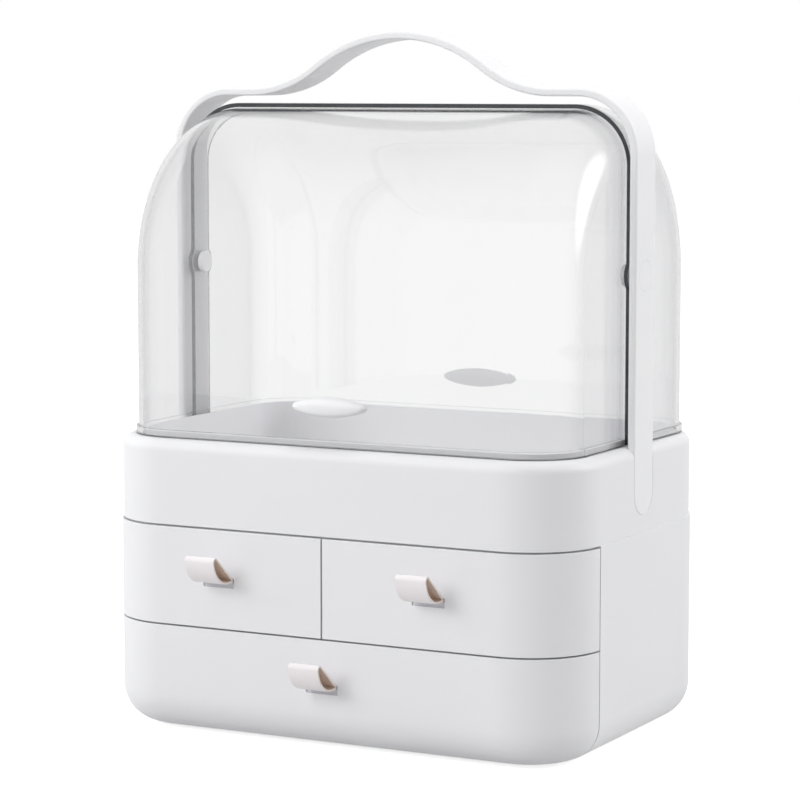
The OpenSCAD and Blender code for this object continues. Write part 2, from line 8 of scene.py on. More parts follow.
# %% Load the frame and keep its box
import math

import bmesh
import bpy
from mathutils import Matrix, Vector
from mathutils.geometry import tessellate_polygon


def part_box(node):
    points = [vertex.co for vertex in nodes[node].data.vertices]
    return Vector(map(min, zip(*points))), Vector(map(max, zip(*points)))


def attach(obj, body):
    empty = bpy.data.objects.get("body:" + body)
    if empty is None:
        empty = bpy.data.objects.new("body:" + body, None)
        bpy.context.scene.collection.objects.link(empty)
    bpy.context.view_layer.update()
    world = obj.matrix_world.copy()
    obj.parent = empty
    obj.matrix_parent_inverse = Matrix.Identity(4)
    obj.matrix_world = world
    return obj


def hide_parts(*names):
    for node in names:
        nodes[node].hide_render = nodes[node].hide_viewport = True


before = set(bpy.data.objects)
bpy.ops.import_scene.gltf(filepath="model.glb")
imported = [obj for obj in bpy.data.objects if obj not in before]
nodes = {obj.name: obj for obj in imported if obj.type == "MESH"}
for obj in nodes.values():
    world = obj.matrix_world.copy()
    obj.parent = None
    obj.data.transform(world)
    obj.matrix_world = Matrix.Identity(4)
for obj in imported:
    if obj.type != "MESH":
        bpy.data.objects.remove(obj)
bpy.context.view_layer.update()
scene = bpy.context.scene
MM = 0.001

# %% [markdown]
# ## The camera
# The photograph was taken from the front right, a little from above, with a long lens. The
# position and the lens below were fitted to straight edges of the cabinet. An object seen
# from 1.6 m keeps its uprights almost parallel, as in a product picture.

# %% Set up the camera
turn, tilt = math.radians(27.70), math.radians(6.22)
back = Vector((math.sin(turn) * math.cos(tilt), -math.cos(turn) * math.cos(tilt), math.sin(tilt)))
camera = bpy.data.objects.new("camera", bpy.data.cameras.new("camera"))
scene.collection.objects.link(camera)
camera.data.lens = 131.17           # mm
camera.data.sensor_width = 36       # mm
camera.location = (0.727785, -1.394511, 0.346296)
camera.rotation_mode = "QUATERNION"
camera.rotation_quaternion = (-back).to_track_quat("-Z", "Y")
scene.camera = camera
scene.view_settings.view_transform = "Standard"
print("camera at", tuple(round(v, 3) for v in camera.location))

# %% [markdown]
# ## Two small helpers for materials
# A colour is written as a screen shows it, in hex, and has to be turned to the linear values
# in which light adds up. One function adds a node of any kind, sets its sockets and links
# what comes from another node, so that a material reads from top to bottom like a recipe.


# %% Colour and node helpers
def colour(code):
    """The linear colour of an sRGB hex code."""
    parts = [int(code[i:i + 2], 16) / 255 for i in (0, 2, 4)]
    return tuple(p / 12.92 if p <= 0.04045 else ((p + 0.055) / 1.055) ** 2.4
                 for p in parts) + (1,)


def add(tree, kind, inputs=None, **settings):
    """Adds a node. An input takes a value, the output of another node, or a list of outputs."""
    node = tree.nodes.new(kind)
    for name, value in settings.items():
        setattr(node, name, value)
    for key, value in (inputs or {}).items():
        for one in value if isinstance(value, list) else [value]:
            if isinstance(one, bpy.types.NodeSocket):
                tree.links.new(one, node.inputs[key])
            else:
                node.inputs[key].default_value = one
    return node


def empty_material(name):
    material = bpy.data.materials.new(name)
    material.use_nodes = True
    material.node_tree.nodes.clear()
    return material, material.node_tree


# %% [markdown]
# ## The room
# The real picture is cut out on white. A white world and floor do the same, but only for rays
# that the camera sees, straight or through and off a shiny surface. For the light itself the
# world is a plain grey, so that white plastic stays below pure white and keeps its shading.
# The floor glows a little under its own grey, so it reads as white and keeps a soft shadow.
# Seen through the covers it is exactly as white as the world, or the covers would fade on it.

# %% World and floor
GLOW = 0.49         # how much light the world gives


def kinds_of_ray(tree):
    """Two outputs, each 0 or 1: the camera's own ray, and one reflected or seen through glass."""
    rays = add(tree, "ShaderNodeLightPath").outputs
    bent = add(tree, "ShaderNodeMath", {0: rays["Is Glossy Ray"], 1: rays["Is Transmission Ray"]},
               operation="MAXIMUM")
    return rays["Is Camera Ray"], bent.outputs[0]


world = bpy.data.worlds.new("white_room")
scene.world = world
world.use_nodes = True
tree = world.node_tree
tree.nodes.clear()
glow = add(tree, "ShaderNodeBackground", {"Color": colour("FFFFFF"), "Strength": GLOW})
white = add(tree, "ShaderNodeBackground", {"Color": colour("FFFFFF"), "Strength": 1.0})
straight, bent = kinds_of_ray(tree)
seen = add(tree, "ShaderNodeMath", {0: straight, 1: bent}, operation="MAXIMUM")
both = add(tree, "ShaderNodeMixShader", {0: seen.outputs[0], 1: glow.outputs[0],
                                         2: white.outputs[0]})
add(tree, "ShaderNodeOutputWorld", {"Surface": both.outputs[0]})

floor_paper, tree = empty_material("white_paper_floor")
plain = add(tree, "ShaderNodeBsdfDiffuse", {"Color": colour("CFCFCF")})
dim = add(tree, "ShaderNodeBsdfDiffuse", {"Color": colour("E6E6E6")})
lit = add(tree, "ShaderNodeEmission", {"Color": colour("FFFFFF"), "Strength": 0.74})
bright = add(tree, "ShaderNodeAddShader", {0: dim.outputs[0], 1: lit.outputs[0]})
white = add(tree, "ShaderNodeEmission", {"Color": colour("FFFFFF"), "Strength": 1.0})
straight, bent = kinds_of_ray(tree)
both = add(tree, "ShaderNodeMixShader", {0: straight, 1: plain.outputs[0], 2: bright.outputs[0]})
all_rays = add(tree, "ShaderNodeMixShader", {0: bent, 1: both.outputs[0], 2: white.outputs[0]})
add(tree, "ShaderNodeOutputMaterial", {"Surface": all_rays.outputs[0]})

REACH = 6           # half the floor's width, in metres
sheet = bpy.data.meshes.new("floor")
sheet.from_pydata([(-REACH, -REACH, 0), (REACH, -REACH, 0), (REACH, REACH, 0), (-REACH, REACH, 0)],
                  [], [(0, 1, 2, 3)])
sheet.materials.append(floor_paper)
floor = bpy.data.objects.new("floor", sheet)
floor.location.z = -0.2 * MM        # the base and the floor don't share a plane
scene.collection.objects.link(floor)

# %% [markdown]
# Four softboxes model the white plastic: high in front, from the left, from the right rear and
# overhead, so that the corner between front and side stays a little darker. A real softbox is
# brightest in its middle. A falloff from the lamp's centre copies that, and keeps hard-edged
# rectangles out of the reflections. Only the right rear lamp shows in reflections, and none is
# seen through the covers.

# %% Softboxes
AIM = Vector((0, 0, 0.18))          # the middle of the organizer
for name, place, size, watts in (("front_softbox", (-0.9, -1.9, 1.25), 2.2, 84),
                                 ("left_softbox", (-2.0, -0.35, 0.7), 1.2, 34),
                                 ("right_rear_softbox", (1.7, 1.1, 0.9), 1.6, 60),
                                 ("top_softbox", (0.1, 0.1, 1.9), 1.6, 40)):
    lamp = bpy.data.lights.new(name, "AREA")
    lamp.shape = "SQUARE"
    lamp.size = size
    lamp.energy = watts
    lamp.use_nodes = True
    tree = lamp.node_tree
    tree.nodes.clear()
    spot = add(tree, "ShaderNodeNewGeometry").outputs["Parametric"]
    away = add(tree, "ShaderNodeVectorMath", {0: spot, 1: (0.5, 0.5, 0)}, operation="DISTANCE")
    soft = add(tree, "ShaderNodeMapRange", {0: away.outputs["Value"], 1: 0.05, 2: 0.5, 3: 1.0,
                                            4: 0.0}, interpolation_type="SMOOTHSTEP")
    beam = add(tree, "ShaderNodeEmission", {"Strength": soft.outputs[0]})
    add(tree, "ShaderNodeOutputLight", {"Surface": beam.outputs[0]})
    box = bpy.data.objects.new(name, lamp)
    box.location = place
    box.rotation_mode = "QUATERNION"
    box.rotation_quaternion = (AIM - Vector(place)).to_track_quat("-Z", "Y")
    box.visible_glossy = name == "right_rear_softbox"
    box.visible_transmission = False
    scene.collection.objects.link(box)
    print(name, size, "m,", watts, "W")

# %% [markdown]
# ## White ABS
# The cabinet, the tray and the arch are ABS, shot into a steel mould whose walls were
# roughened by spark erosion. That gives a satin surface: broad soft highlights, and a grain
# of a tenth of a millimetre. So fine a grain doesn't show from here, so it is drawn at 0.9 mm
# and very shallow. A slow drift in tone stands for the flow of the plastic in the mould. The
# pockets round the slots are rougher, and their greyer tone is painted shade, the shade under
# each strap.


# %% White ABS, satin moulded
def moulded_abs(name, tone, low_tone, roughness, grain=0.9):
    """A moulded finish between two tones. grain is the size of its grain in millimetres."""
    material, tree = empty_material(name)
    place = add(tree, "ShaderNodeTexCoord").outputs["Object"]
    drift = add(tree, "ShaderNodeTexNoise", {"Vector": place, "Scale": 1 / (80 * MM), "Detail": 2})
    tint = add(tree, "ShaderNodeMix", {0: drift.outputs[0], 6: colour(low_tone), 7: colour(tone)},
               data_type="RGBA")
    speck = add(tree, "ShaderNodeTexNoise", {"Vector": place, "Scale": 1 / (grain * MM),
                                             "Detail": 1})
    rough = add(tree, "ShaderNodeMapRange", {0: speck.outputs[0], 3: roughness - 0.04,
                                             4: roughness + 0.04})
    relief = add(tree, "ShaderNodeBump", {"Height": speck.outputs[0], "Strength": 0.12,
                                          "Distance": 0.05 * MM})
    surface = add(tree, "ShaderNodeBsdfPrincipled", {
        "Base Color": tint.outputs[2], "Roughness": rough.outputs[0], "IOR": 1.53,
        "Normal": relief.outputs[0]})
    add(tree, "ShaderNodeOutputMaterial", {"Surface": surface.outputs[0]})
    return material


satin_abs = moulded_abs("satin_moulded_abs", "ECECEE", "E9E9EC", 0.42)
arch_abs = moulded_abs("fine_satin_moulded_abs", "F1F1F2", "EEEEF0", 0.36)
inner_abs = moulded_abs("matt_moulded_abs", "E8E8EA", "E4E4E7", 0.55)
# painted shade: the pockets' darker grey stands for the strap's shadow in them; only their higher
# roughness is real
pocket_abs_painted_shade = moulded_abs("rough_abs_with_painted_shade", "D9D9DD", "D3D3D8", 0.6)
print("ABS finishes:", satin_abs.name, arch_abs.name, inner_abs.name, pocket_abs_painted_shade.name)

# %% [markdown]
# ## Clear polystyrene
# The covers are general-purpose polystyrene from a polished mould: as clear as glass, index
# 1.59, with a trace of grey where the eye looks a long way through it, held by the volume. The
# tint adds painted shade: grey at the rims and along the silhouettes, where the surface is seen
# at a slant, and less of it on level faces such as the crown. A ray that carries light or
# shadow to a white surface passes straight through, because the sheet is thin, and so the tray
# under the covers and the arch beside them stay lit. The cut edges are painted near black, a
# shade that stands for what is seen in a clear cut edge: the inside of the sheet.

# %% Clear polystyrene and its cut edges
PS_INDEX = 1.59
clear_ps, tree = empty_material("polished_clear_polystyrene")
spot = add(tree, "ShaderNodeTexCoord").outputs
haze = add(tree, "ShaderNodeTexNoise", {"Vector": spot["Object"], "Scale": 1 / (45 * MM),
                                        "Detail": 2})
gloss = add(tree, "ShaderNodeMapRange", {0: haze.outputs[0], 3: 0.0, 4: 0.03})
waves = add(tree, "ShaderNodeBump", {"Height": haze.outputs[0], "Strength": 0.05,
                                     "Distance": 0.5 * MM})
# painted shade: the glass colour greys where the surface is seen at a slant, and less so on level
# faces
slant = add(tree, "ShaderNodeLayerWeight", {"Blend": 0.5}).outputs["Facing"]
rim = add(tree, "ShaderNodeMapRange", {0: slant, 1: 0.12, 2: 0.62},
          interpolation_type="SMOOTHSTEP")
normal = add(tree, "ShaderNodeSeparateXYZ", {0: spot["Normal"]})
level = add(tree, "ShaderNodeMath", {0: normal.outputs["Z"]}, operation="ABSOLUTE")
painted_shade_less_on_level = add(tree, "ShaderNodeMapRange", {0: level.outputs[0], 1: 0.3, 2: 0.95, 3: 1.0, 4: 0.25})
shade = add(tree, "ShaderNodeMath", {0: rim.outputs[0], 1: painted_shade_less_on_level.outputs[0]},
            operation="MULTIPLY")
body = add(tree, "ShaderNodeMix", {0: shade.outputs[0], 6: colour("FEFEFE"),
                                   7: colour("DADADC")}, data_type="RGBA")
glassy = add(tree, "ShaderNodeBsdfPrincipled", {
    "Base Color": body.outputs[2], "Roughness": gloss.outputs[0], "IOR": PS_INDEX,
    "Transmission Weight": 1.0, "Normal": waves.outputs[0]})
passing = add(tree, "ShaderNodeBsdfTransparent", {"Color": colour("FBFBFB")})
rays = add(tree, "ShaderNodeLightPath").outputs
light = add(tree, "ShaderNodeMath", {0: rays["Is Shadow Ray"], 1: rays["Is Diffuse Ray"]},
            operation="MAXIMUM")
mixed = add(tree, "ShaderNodeMixShader", {0: light.outputs[0], 1: glassy.outputs[0],
                                          2: passing.outputs[0]})
grey = add(tree, "ShaderNodeVolumeAbsorption", {"Color": colour("BCBCBD"), "Density": 24.0})
add(tree, "ShaderNodeOutputMaterial", {"Surface": mixed.outputs[0], "Volume": grey.outputs[0]})

# painted shade: an opaque near-black finish on the clear cut edges stands for the dark seen inside
# them
edge_ps_painted_dark, tree = empty_material("cut_edge_of_polystyrene_painted_dark")
place = add(tree, "ShaderNodeTexCoord").outputs["Object"]
streak = add(tree, "ShaderNodeTexNoise", {"Vector": place, "Scale": 1 / (12 * MM), "Detail": 1})
tint = add(tree, "ShaderNodeMix", {0: streak.outputs[0], 6: colour("232629"),
                                   7: colour("3A3F44")}, data_type="RGBA")
surface = add(tree, "ShaderNodeBsdfPrincipled", {
    "Base Color": tint.outputs[2], "Roughness": 0.2, "IOR": PS_INDEX})
add(tree, "ShaderNodeOutputMaterial", {"Surface": surface.outputs[0]})
print("clear finishes:", clear_ps.name, edge_ps_painted_dark.name)

# %% [markdown]
# ## Coated leather
# The pulls are straps of PU leather: a cloth with a thin pinkish white coat pressed to a fine
# pebble, about 0.8 mm from one pebble to the next. The back of the strap is the bare cloth, a
# warm brown twill, and the cut edge is painted cream. Each has its own material, and the
# strap's mesh says which face wears which.


# %% The strap's face, its back and its painted edge
def leather(name, tone, low_tone, roughness, step, depth, cells=True):
    """A strap finish. step and depth are the grain's spacing and height in millimetres, and the
    grain is a pebble of cells or the diagonal of a twill."""
    material, tree = empty_material(name)
    place = add(tree, "ShaderNodeTexCoord").outputs["Object"]
    if cells:
        grain = add(tree, "ShaderNodeTexVoronoi", {"Vector": place, "Scale": 1 / (step * MM)})
    else:
        # a wave texture of scale 1 has a line about every 0.31 units
        grain = add(tree, "ShaderNodeTexWave", {"Vector": place, "Scale": 0.31 / (step * MM),
                                                "Distortion": 0.6},
                    wave_type="BANDS", bands_direction="DIAGONAL")
    patch = add(tree, "ShaderNodeTexNoise", {"Vector": place, "Scale": 1 / (6 * MM), "Detail": 2})
    tint = add(tree, "ShaderNodeMix", {0: patch.outputs[0], 6: colour(low_tone), 7: colour(tone)},
               data_type="RGBA")
    height = grain.outputs[0] if cells else grain.outputs["Fac"]
    relief = add(tree, "ShaderNodeBump", {"Height": height, "Strength": 0.5,
                                          "Distance": depth * MM})
    surface = add(tree, "ShaderNodeBsdfPrincipled", {
        "Base Color": tint.outputs[2], "Roughness": roughness, "Sheen Weight": 0.1,
        "Normal": relief.outputs[0]})
    add(tree, "ShaderNodeOutputMaterial", {"Surface": surface.outputs[0]})
    return material


leather_face = leather("coated_pu_leather", "F5F0F1", "F0EAEC", 0.45, 0.8, 0.08)
leather_back = leather("twill_back_of_pu_leather", "E9D6C8", "DCC7B8", 0.85, 0.7, 0.15,
                       cells=False)
leather_edge = leather("painted_edge_of_pu_leather", "F1E9E2", "E6DCD4", 0.5, 0.6, 0.03)
print("strap finishes:", leather_face.name, leather_back.name, leather_edge.name)

# %% [markdown]
# ## Zinc-plated steel
# The screws are carbon steel, cold headed and zinc plated: a pale metal, a little blue, with
# the blur of a rumbled surface. A metal keeps the default index, and its colour is in its
# reflection.

# %% Zinc-plated steel
zinc, tree = empty_material("zinc_plated_steel")
place = add(tree, "ShaderNodeTexCoord").outputs["Object"]
spot = add(tree, "ShaderNodeTexNoise", {"Vector": place, "Scale": 1 / (1.2 * MM), "Detail": 2})
blur = add(tree, "ShaderNodeMapRange", {0: spot.outputs[0], 3: 0.24, 4: 0.42})
tint = add(tree, "ShaderNodeMix", {0: spot.outputs[0], 6: colour("B4B8BD"),
                                   7: colour("CDD0D3")}, data_type="RGBA")
surface = add(tree, "ShaderNodeBsdfPrincipled", {
    "Base Color": tint.outputs[2], "Metallic": 1.0, "Roughness": blur.outputs[0]})
add(tree, "ShaderNodeOutputMaterial", {"Surface": surface.outputs[0]})
print("metal finish:", zinc.name)

# %% [markdown]
# ## Pieces that keep their CAD shape
# The housing, the shelf, the tray, the drawer boxes and the small plates are exact already.
# They only take a finish.

# %% Finishes on the CAD pieces
for name, finish in (("drawer_housing", satin_abs), ("top_tray", satin_abs),
                     ("middle_shelf", inner_abs), ("centre_divider", inner_abs),
                     ("left_drawer_box", inner_abs), ("right_drawer_box", inner_abs),
                     ("lower_drawer_box", inner_abs), ("left_pull_clip", inner_abs),
                     ("right_pull_clip", inner_abs), ("lower_pull_clip", inner_abs),
                     ("pivot_pin_left", arch_abs), ("pivot_pin_right", arch_abs),
                     ("pivot_washers", arch_abs), ("pivot_discs", arch_abs)):
    for holder in nodes[name].material_slots:
        holder.material = finish
    print(name, "->", finish.name)

# %% [markdown]
# ## From faces to a piece
# Every modelled piece below is a list of faces, each with its own corners in millimetres.
# Corners at the same place are merged into one, which closes the shape, and then all faces are
# turned outwards. The count of open edges tells at once whether a face is missing. A small
# bevel breaks the sharp edges, because it is the thin highlight along an edge that makes a
# moulding look real, and weighted normals keep the flat faces flat beside it.


# %% The mesh helpers
def closed_piece(name, faces, finishes, bevel=0.3, sharp=35):
    """An object from faces, each a list of corners and the number of its finish."""
    shape = bmesh.new()
    for corners, finish in faces:
        made = shape.faces.new([shape.verts.new(Vector(c) * MM) for c in corners])
        made.material_index = finish
        made.smooth = True
    bmesh.ops.remove_doubles(shape, verts=shape.verts, dist=0.002 * MM)
    bmesh.ops.recalc_face_normals(shape, faces=shape.faces)
    gaps = sum(1 for edge in shape.edges if len(edge.link_faces) != 2)
    mesh = bpy.data.meshes.new(name)
    shape.to_mesh(mesh)
    shape.free()
    for finish in finishes:
        mesh.materials.append(finish)
    piece = bpy.data.objects.new(name, mesh)
    scene.collection.objects.link(piece)
    if bevel:
        edge = piece.modifiers.new("broken edges", "BEVEL")
        edge.width, edge.segments = bevel * MM, 2
        edge.limit_method, edge.angle_limit = "ANGLE", math.radians(sharp)
    else:
        mesh.set_sharp_from_angle(angle=math.radians(sharp))
    piece.modifiers.new("flat faces stay flat", "WEIGHTED_NORMAL").keep_sharp = True
    print(name, len(mesh.polygons), "faces,", gaps, "open edges")
    return piece


def stands_for(piece, body, slot, *replaced):
    """The piece rides on a body and stands for CAD nodes, which are hidden. slot is not used."""
    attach(piece, body)
    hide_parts(*replaced)


def steps(start, end, count):
    return [start + (end - start) * i / count for i in range(count + 1)]


def cut_flat(outline, hole):
    """Triangles of a flat outline with a hole, as corners in the plane."""
    corners = outline + hole
    rings = [[Vector((a, b, 0)) for a, b in ring] for ring in (outline, hole)]
    return [[corners[i] for i in three] for three in tessellate_polygon(rings)]


# %% [markdown]
# ## The clear covers
# Each cover is half a drum over a straight skirt, with flat sides and large round edges, and
# turns on two pins. It could be a cube with bevels, but then the sides, the drum and the round
# edge would not meet smoothly, and a clear piece shows every fault twice. So the wall is made
# of two exact skins: a profile from side to side is swept up the skirt and round the pivots,
# once for the outside and once, 2.2 mm further in, for the inside. The flat side plates with
# their ears and pin holes are cut as plane figures, and strips join the two skins at the rims.


# %% The wall of a cover
def cover_faces(x, r, e, flange_end, z_pivot, way):
    """Faces of a cover with half width x, drum radius r and edge radius e about its pivot.
    way is -1 for the cover that closes the front, and 1 for the rear one."""
    wall, lap, drop, flange, flange_h, ear, hole = 2.2, 6.5, 88.0, 1.4, 3.6, 9.3, 3.05
    faces = []
    low, brim, flat = -drop, -drop + flange_h, r - e
    # EDGE faces take the cut edge finish, which is painted dark
    CLEAR, EDGE = 0, 1

    def face(corners, finish=CLEAR):
        faces.append(([(a, way * b, c + z_pivot) for a, b, c in corners], finish))

    def at(station, row, grow):
        middle, angle = station
        across = middle + math.copysign((e + grow) * math.cos(angle), middle)
        out = flat + (e + grow) * math.sin(angle)
        if row[0] == "skirt":
            return (across, out, row[1])
        angle = row[1] * math.acos(-lap / out)
        return (across, out * math.cos(angle), out * math.sin(angle))

    quarter = steps(0, math.pi / 2, 32)
    stations = [(x - e, a) for a in quarter]
    stations += [(m, math.pi / 2) for m in steps(x - e, e - x, 16)[1:-1]]
    stations += [(e - x, a) for a in reversed(quarter)]
    skirt = [("skirt", z) for z in steps(brim, 0, 8)]
    drum = [("drum", t) for t in steps(0, 1, 72)[1:]]
    outer = [(("skirt", low), flange), (("skirt", brim), flange)]
    outer += [(row, 0) for row in skirt + drum]
    inner = [(row, -wall) for row in [("skirt", low)] + skirt[1:] + drum]

    # the two skins, and the strips that join them below and along the cut
    for rows in (outer, inner):
        for (row, grow), (next_row, next_grow) in zip(rows, rows[1:]):
            for a, b in zip(stations, stations[1:]):
                face([at(a, row, grow), at(b, row, grow), at(b, next_row, next_grow),
                      at(a, next_row, next_grow)])
    for i in (0, -1):
        for a, b in zip(stations, stations[1:]):
            face([at(a, *outer[i]), at(b, *outer[i]), at(b, *inner[i]), at(a, *inner[i])],
                 EDGE if way == 1 or i == 0 else CLEAR)

    # the side plates: a plane figure of distance towards the cover's own side, and height
    half = math.acos(lap / ear)
    front = [(flat * math.cos(t * math.acos(-lap / flat)),
              flat * math.sin(t * math.acos(-lap / flat))) for t in steps(0, 1, 72)[1:]]
    rising = [(flat, z) for _, z in skirt]
    ear_arc = [(-ear * math.cos(a), ear * math.sin(a)) for a in steps(half, -half, 16)]
    pin = [(hole * math.cos(a), hole * math.sin(a)) for a in steps(0, 2 * math.pi, 36)[:-1]]
    short = flange_end > -lap
    foot = [(-lap, low), (flange_end, low)] if short else [(-lap, brim)]
    for side in (1, -1):
        def plate(figure, at_x, finish=CLEAR):
            face([(side * at_x, w, z) for w, z in figure], finish)

        for three in cut_flat(rising + front + ear_arc + foot
                              + ([(flange_end, brim)] if short else []), pin):
            plate(three, x)
        foot_in = foot if short else foot + [(-lap, low)]
        for three in cut_flat([(flat, low)] + rising[1:] + front + ear_arc + foot_in, pin):
            plate(three, x - wall)
        rim = [front[-1]] + ear_arc + foot[:1]
        for (w0, z0), (w1, z1) in list(zip(rim, rim[1:])) + list(zip(pin, pin[1:] + pin[:1])):
            face([(side * x, w0, z0), (side * x, w1, z1), (side * (x - wall), w1, z1),
                  (side * (x - wall), w0, z0)], CLEAR if way == -1 or (w0, z0) in pin else EDGE)
        # the flange along the plate's foot
        plate([(flat, low), (flat, brim), (flange_end, brim), (flange_end, low)], x + flange)
        face([(side * x, flat, brim), (side * (x + flange), flat, brim),
              (side * (x + flange), flange_end, brim), (side * x, flange_end, brim)])
        under = [(x + flange, flat), (x - wall, flat), (x - wall, flange_end)]
        if short:
            face([(side * x, flange_end, low), (side * (x + flange), flange_end, low),
                  (side * (x + flange), flange_end, brim), (side * x, flange_end, brim)], EDGE)
            under.append((x, flange_end))
            face([(side * a, w, low) for a, w in ((x, flange_end), (x - wall, flange_end),
                                                  (x - wall, -lap), (x, -lap))], EDGE)
        else:
            face([(side * a, -lap, z) for a, z in ((x + flange, low), (x + flange, brim),
                                                   (x, brim), (x - wall, brim),
                                                   (x - wall, low))], EDGE)
        under.append((x + flange, flange_end))
        face([(side * a, w, low) for a, w in under], EDGE)
    return faces


# %% Both covers on their pivots
Z_PIVOT = 246.6
for name, x, r, e, flange_end, way in (("front", 130.6, 85.8, 29.2, 7.3, -1),
                                       ("rear", 133.4, 88.6, 32.0, -6.5, 1)):
    cover = closed_piece(f"{name}_clear_cover", cover_faces(x, r, e, flange_end, Z_PIVOT, way),
                         [clear_ps, edge_ps_painted_dark], bevel=0)
    stands_for(cover, f"{name}_cover", "clear_polystyrene", f"{name}_cover")

# %% [markdown]
# ## The finger tabs
# A white oval tab sits on each cover, above its rim. It is a lens in outline and a pillow in
# section, so it is lofted: at each step from end to end one half-oval ring, flat against the
# cover, whose height and reach follow two simple curves.


# %% The lofted tabs
def tab_faces(face_r, z_middle, way):
    half_l, half_h, reach, end_h = 21.5, 5.2, 6.9, 1.56
    fall = half_h - end_h
    side_r = (half_l ** 2 + fall ** 2) / (2 * fall)
    rings = []
    for angle in steps(-89, 89, 60):
        x = half_l * math.sin(math.radians(angle))
        rounding = (1 - abs(x / half_l) ** 16) ** 0.5
        high = (half_h - side_r + math.sqrt(side_r ** 2 - x ** 2)) * rounding
        deep = reach * (1 - 0.35 * abs(x / half_l) ** 2.5) * rounding
        ring = []
        for a in steps(-90, 90, 24):
            out = deep * max(math.cos(math.radians(a)), 0) ** 0.55
            ring.append((x, way * (face_r + out), z_middle + high * math.sin(math.radians(a))))
        rings.append(ring)
    faces = []
    for one, two in zip(rings, rings[1:]):
        for i in range(len(one)):
            j = (i + 1) % len(one)
            faces.append(([one[i], one[j], two[j], two[i]], 0))
    faces += [(rings[0], 0), (rings[-1], 0)]
    return faces


for name, r, way in (("front", 85.9, -1), ("rear", 88.7, 1)):
    tab = closed_piece(f"{name}_oval_tab", tab_faces(r, 179.4, way), [arch_abs], bevel=0)
    stands_for(tab, f"{name}_cover", "arch_abs", f"{name}_tab")

# %% [markdown]
# ## The drawer fronts
# A front is a wall of even thickness that runs along the cabinet's outline, round both corners.
# The wide one also turns under, in a large radius, into a floor. A slot lets the strap in, and
# a shallow pocket round it gives the fold room. The wall is laid out as a grid of cells along
# the outline and down the height. Each cell has a depth: none, a pocket, or right through.
# Where neighbours differ, a small wall joins them.


# %% The wall of a drawer front
FRONT_Y, CORNER_R, SIDE_SEAM = -96, 40, 0.8     # the cabinet's outline and the seam at its side
FLAT_X, CORNER_Y = 100, -56                     # the middle of a round corner
FOOT_R, FOOT_Z = 20, 21                         # the turn under the wide front
THICK, POCKET_DEEP = 2.6, 1.2                   # the wall and the pocket in it
SLOT_X, SLOT_Z, POCKET_Z = 9.25, 1.2, -3.8      # half the slot, and the foot of its pocket


def front_place(u, v, depth):
    """A point of the front: u along the outline, v down its height, depth into the wall."""
    kind, value = v
    inset, z = depth, value
    if kind == "under":
        inset = FOOT_R - (FOOT_R - depth) * math.cos(value)
        z = FOOT_Z - (FOOT_R - depth) * math.sin(value)
    if u[0] == "line":
        return (u[1], FRONT_Y + inset, z)
    ring = CORNER_R - inset
    start = math.asin(SIDE_SEAM / ring)
    angle = start + u[1] * (math.pi / 2 - start)
    return (u[0] * (FLAT_X + ring * math.cos(angle)), CORNER_Y - ring * math.sin(angle), z)


def front_faces(us, vs, pull_x, pull_z, closed_below):
    """Faces of a front laid out on the grid us by vs, with its slot at pull_x and pull_z."""
    levels = (0, POCKET_DEEP, THICK)

    def depth(i, j):
        if not (0 <= i < len(us) - 1 and 0 <= j < len(vs) - 1):
            return THICK
        if us[i][0] == us[i + 1][0] == "line" and vs[j + 1][0] == "wall":
            x, z = (us[i][1] + us[i + 1][1]) / 2, (vs[j][1] + vs[j + 1][1]) / 2
            if abs(x - pull_x) < SLOT_X and POCKET_Z < z - pull_z < SLOT_Z:
                return THICK if z > pull_z - SLOT_Z else POCKET_DEEP
        return 0

    # POCKET faces wear the pocket finish, whose grey is painted shade
    SATIN, POCKET = 0, 1
    faces = []
    for i in range(len(us) - 1):
        for j in range(len(vs) - 1):
            here = depth(i, j)
            if here == THICK:
                continue
            ring = [(us[i], vs[j]), (us[i + 1], vs[j]), (us[i + 1], vs[j + 1]), (us[i], vs[j + 1])]
            for level in (here, THICK):
                faces.append(([front_place(u, v, level) for u, v in ring],
                              POCKET if level == POCKET_DEEP else SATIN))
            around = (depth(i, j - 1), depth(i + 1, j), depth(i, j + 1), depth(i - 1, j))
            for k, beyond in enumerate(around):
                if k == 2 and closed_below and j == len(vs) - 2:
                    continue
                (u0, v0), (u1, v1) = ring[k], ring[(k + 1) % 4]
                for a, b in zip(levels, levels[1:]):
                    if here <= a and b <= beyond:
                        faces.append(([front_place(u0, v0, a), front_place(u1, v1, a),
                                       front_place(u1, v1, b), front_place(u0, v0, b)],
                                      POCKET if beyond and here != beyond else SATIN))
    if closed_below:
        for level in (0, THICK):
            faces.append(([front_place(u, vs[-1], level) for u in us], SATIN))
        ends = [front_place(us[0], vs[-1], d) for d in levels]
        ends += [front_place(us[-1], vs[-1], d) for d in reversed(levels)]
        faces.append((ends, SATIN))
    return faces


corner = steps(0, 1, 16)
fronts = {}
UPPER, LOWER, PULL_X = 85.5, 34.45, 62      # heights of the pulls, and the small drawers' middle
MID_SEAM = 0.4                              # from the middle to a small front
us = [(-1, t) for t in corner[:-1]]
us += [("line", x) for x in (-FLAT_X, -PULL_X - SLOT_X, -PULL_X + SLOT_X, -MID_SEAM)]
vs = [("wall", z) for z in (111.9, UPPER + SLOT_Z, UPPER - SLOT_Z, UPPER + POCKET_Z, 59.5)]
fronts["left"] = front_faces(us, vs, -PULL_X, UPPER, False)
fronts["right"] = [([(-x, y, z) for x, y, z in corners], k) for corners, k in fronts["left"]]
us = [(-1, t) for t in corner[:-1]]
us += [("line", x) for x in (-FLAT_X, -SLOT_X, SLOT_X, FLAT_X)]
us += [(1, t) for t in reversed(corner[:-1])]
vs = [("wall", z) for z in (58.7, LOWER + SLOT_Z, LOWER - SLOT_Z, LOWER + POCKET_Z, FOOT_Z)]
vs += [("under", a) for a in steps(0, math.pi / 2, 14)[1:]]
